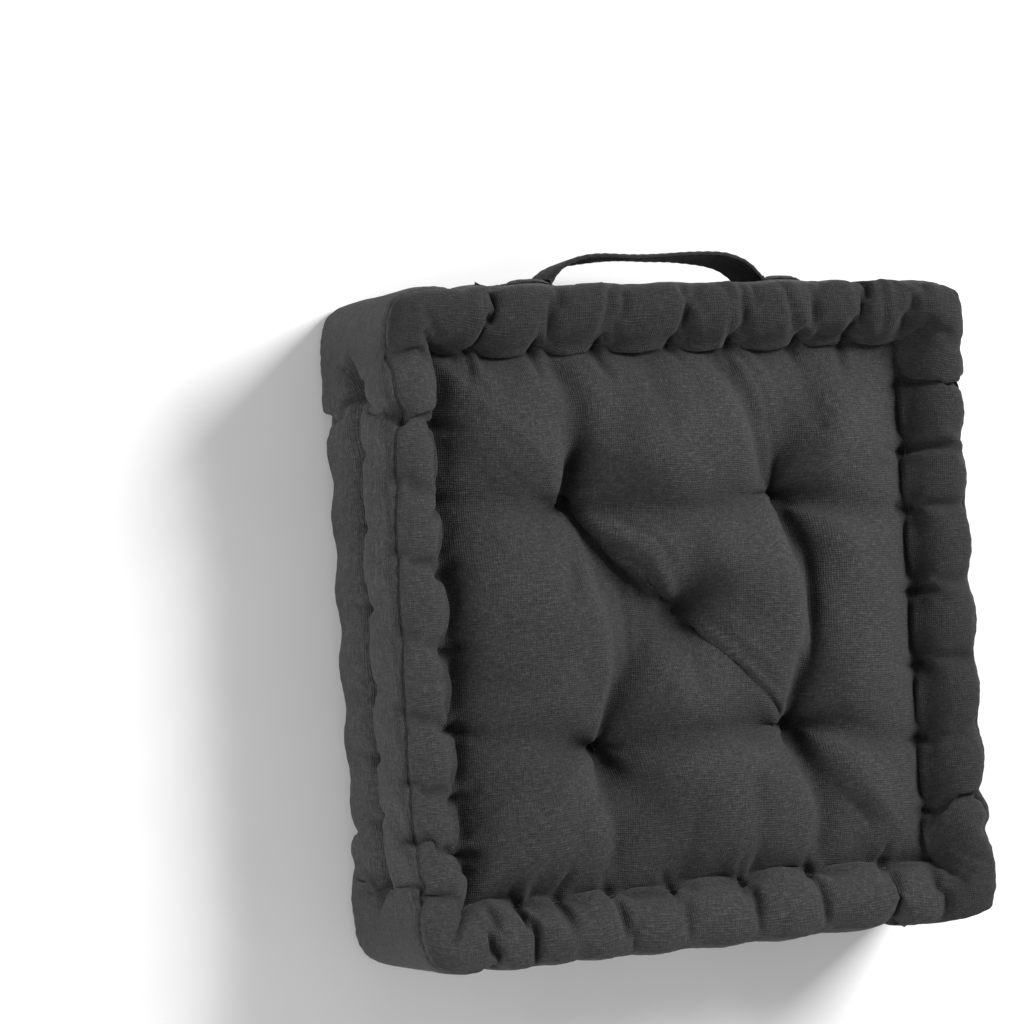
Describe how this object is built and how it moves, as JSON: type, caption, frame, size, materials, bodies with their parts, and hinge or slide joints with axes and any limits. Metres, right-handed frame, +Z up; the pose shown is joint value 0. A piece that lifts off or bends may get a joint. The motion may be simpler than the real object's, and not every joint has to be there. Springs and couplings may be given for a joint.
{
  "type": "tufted floor cushion",
  "caption": "Square boxed floor cushion in dark grey woven cloth, through-tufted, with hand-stitched rolled edges and a fabric carrying handle on one side.",
  "frame": {"origin": "centre of the object's bounding box, on the floor: the middle of the underside, 9 mm towards the handle because the handle is inside the box", "axes": "+Z up out of the upper tufted face as the cushion lies flat, +Y out of the side that carries the handle, +X to the right along that side"},
  "size_m": [0.411, 0.4296, 0.1],
  "materials": {
    "cover_cloth": "matt plain-weave cotton, dark grey, slubby",
    "fibre": "loose carded fibre",
    "twine": "waxed twine, dark grey",
    "thread": "polyester sewing thread, dark grey"
  },
  "bodies": {
    "cushion": {"top_panel": "cover_cloth", "bottom_panel": "cover_cloth", "side_band": "cover_cloth", "handle_end_left": "cover_cloth", "handle_end_right": "cover_cloth", "fibre_filling": "fibre", "tuft_tie_1": "twine", "tuft_tie_2": "twine", "tuft_tie_3": "twine", "tuft_tie_4": "twine", "tuft_tie_5": "twine", "upper_roll_twine_right": "twine", "upper_roll_twine_back": "twine", "upper_roll_twine_left": "twine", "upper_roll_twine_front": "twine", "lower_roll_twine_right": "twine", "lower_roll_twine_back": "twine", "lower_roll_twine_left": "twine", "lower_roll_twine_front": "twine", "upper_seam_thread": "thread", "lower_seam_thread": "thread", "handle_stitch_left": "thread", "handle_stitch_right": "thread"},
    "handle": {"handle_strap": "cover_cloth"}
  },
  "joints": [
    {"name": "handle_swing", "type": "hinge", "parent": "cushion", "child": "handle", "pos_m": [0, 0.19875, 0.05], "axis": [1, 0, 0], "range_deg": [-45, 45]}
  ]
}
